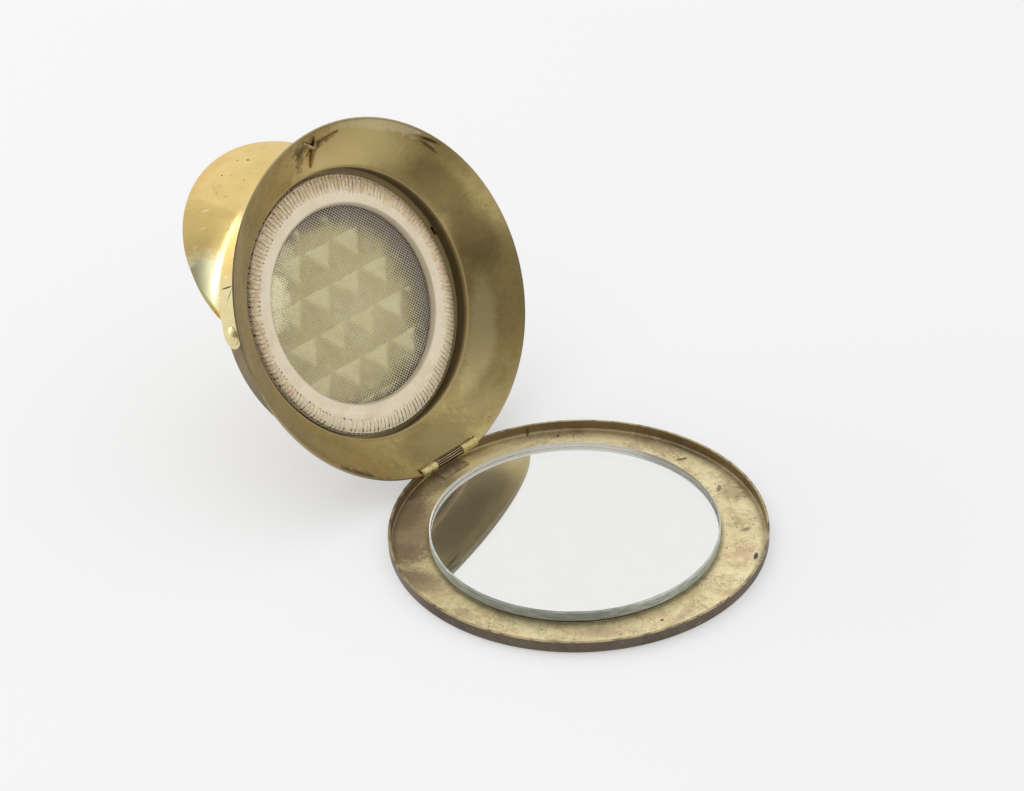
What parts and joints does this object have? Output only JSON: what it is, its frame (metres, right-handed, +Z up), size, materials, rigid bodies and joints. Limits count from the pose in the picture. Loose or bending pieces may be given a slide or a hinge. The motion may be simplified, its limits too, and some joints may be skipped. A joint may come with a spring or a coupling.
{
  "type": "peaked cap powder compact mirror",
  "caption": "Brass powder compact shaped like a peaked cap, standing open on its crown: hinged lid with a round mirror, powder well and lift-out gauze sifter.",
  "frame": {"origin": "centre of the crown disc's outer face, on the surface that the open compact stands on", "axes": "+X along the hinge pin, +Y from the lid towards the hinge and the opened cap, +Z up"},
  "size_m": [0.076, 0.1345, 0.0689],
  "materials": {
    "lid_brass": "tarnished, pale inside and brown outside",
    "pad_card": "matte",
    "silvering": "mirror",
    "plate_glass": "polished, with a ground edge",
    "hinge_brass": "worn",
    "cap_brass": "satin, tarnished",
    "well_brass": "satin",
    "polished_brass": "polished, lightly scratched",
    "solder": "dull",
    "hoop_card": "matte",
    "ribbon": "woven ribbon",
    "thread": "overlocked thread",
    "gauze": "open silk gauze"
  },
  "bodies": {
    "lid": {"crown_lid": "lid_brass", "mirror_pad": "pad_card", "mirror_silvering": "silvering", "mirror_glass": "plate_glass", "hinge_lid_leaf": "hinge_brass"},
    "cap": {"hinge_pin": "hinge_brass", "hinge_cap_leaf": "hinge_brass", "crown_bowl": "cap_brass", "cap_band": "cap_brass", "base_plate": "cap_brass", "powder_well": "well_brass", "embossed_plate": "well_brass", "visor": "polished_brass", "chin_strap": "polished_brass", "strap_rivets": "polished_brass", "cap_badge": "polished_brass", "badge_solder": "solder"},
    "sifter": {"sifter_hoop": "hoop_card", "sifter_binding": "ribbon", "sifter_stitching": "thread", "sifter_gauze": "gauze"}
  },
  "joints": [
    {"name": "lid_hinge", "type": "hinge", "parent": "lid", "child": "cap", "pos_m": [0, 0.03605, 0.0031], "axis": [1, 0, 0], "range_deg": [0, 117]},
    {"name": "sifter_lift", "type": "slide", "parent": "cap", "child": "sifter", "axis": [0, -0.891, 0.454], "range_m": [0, 0.008]}
  ]
}
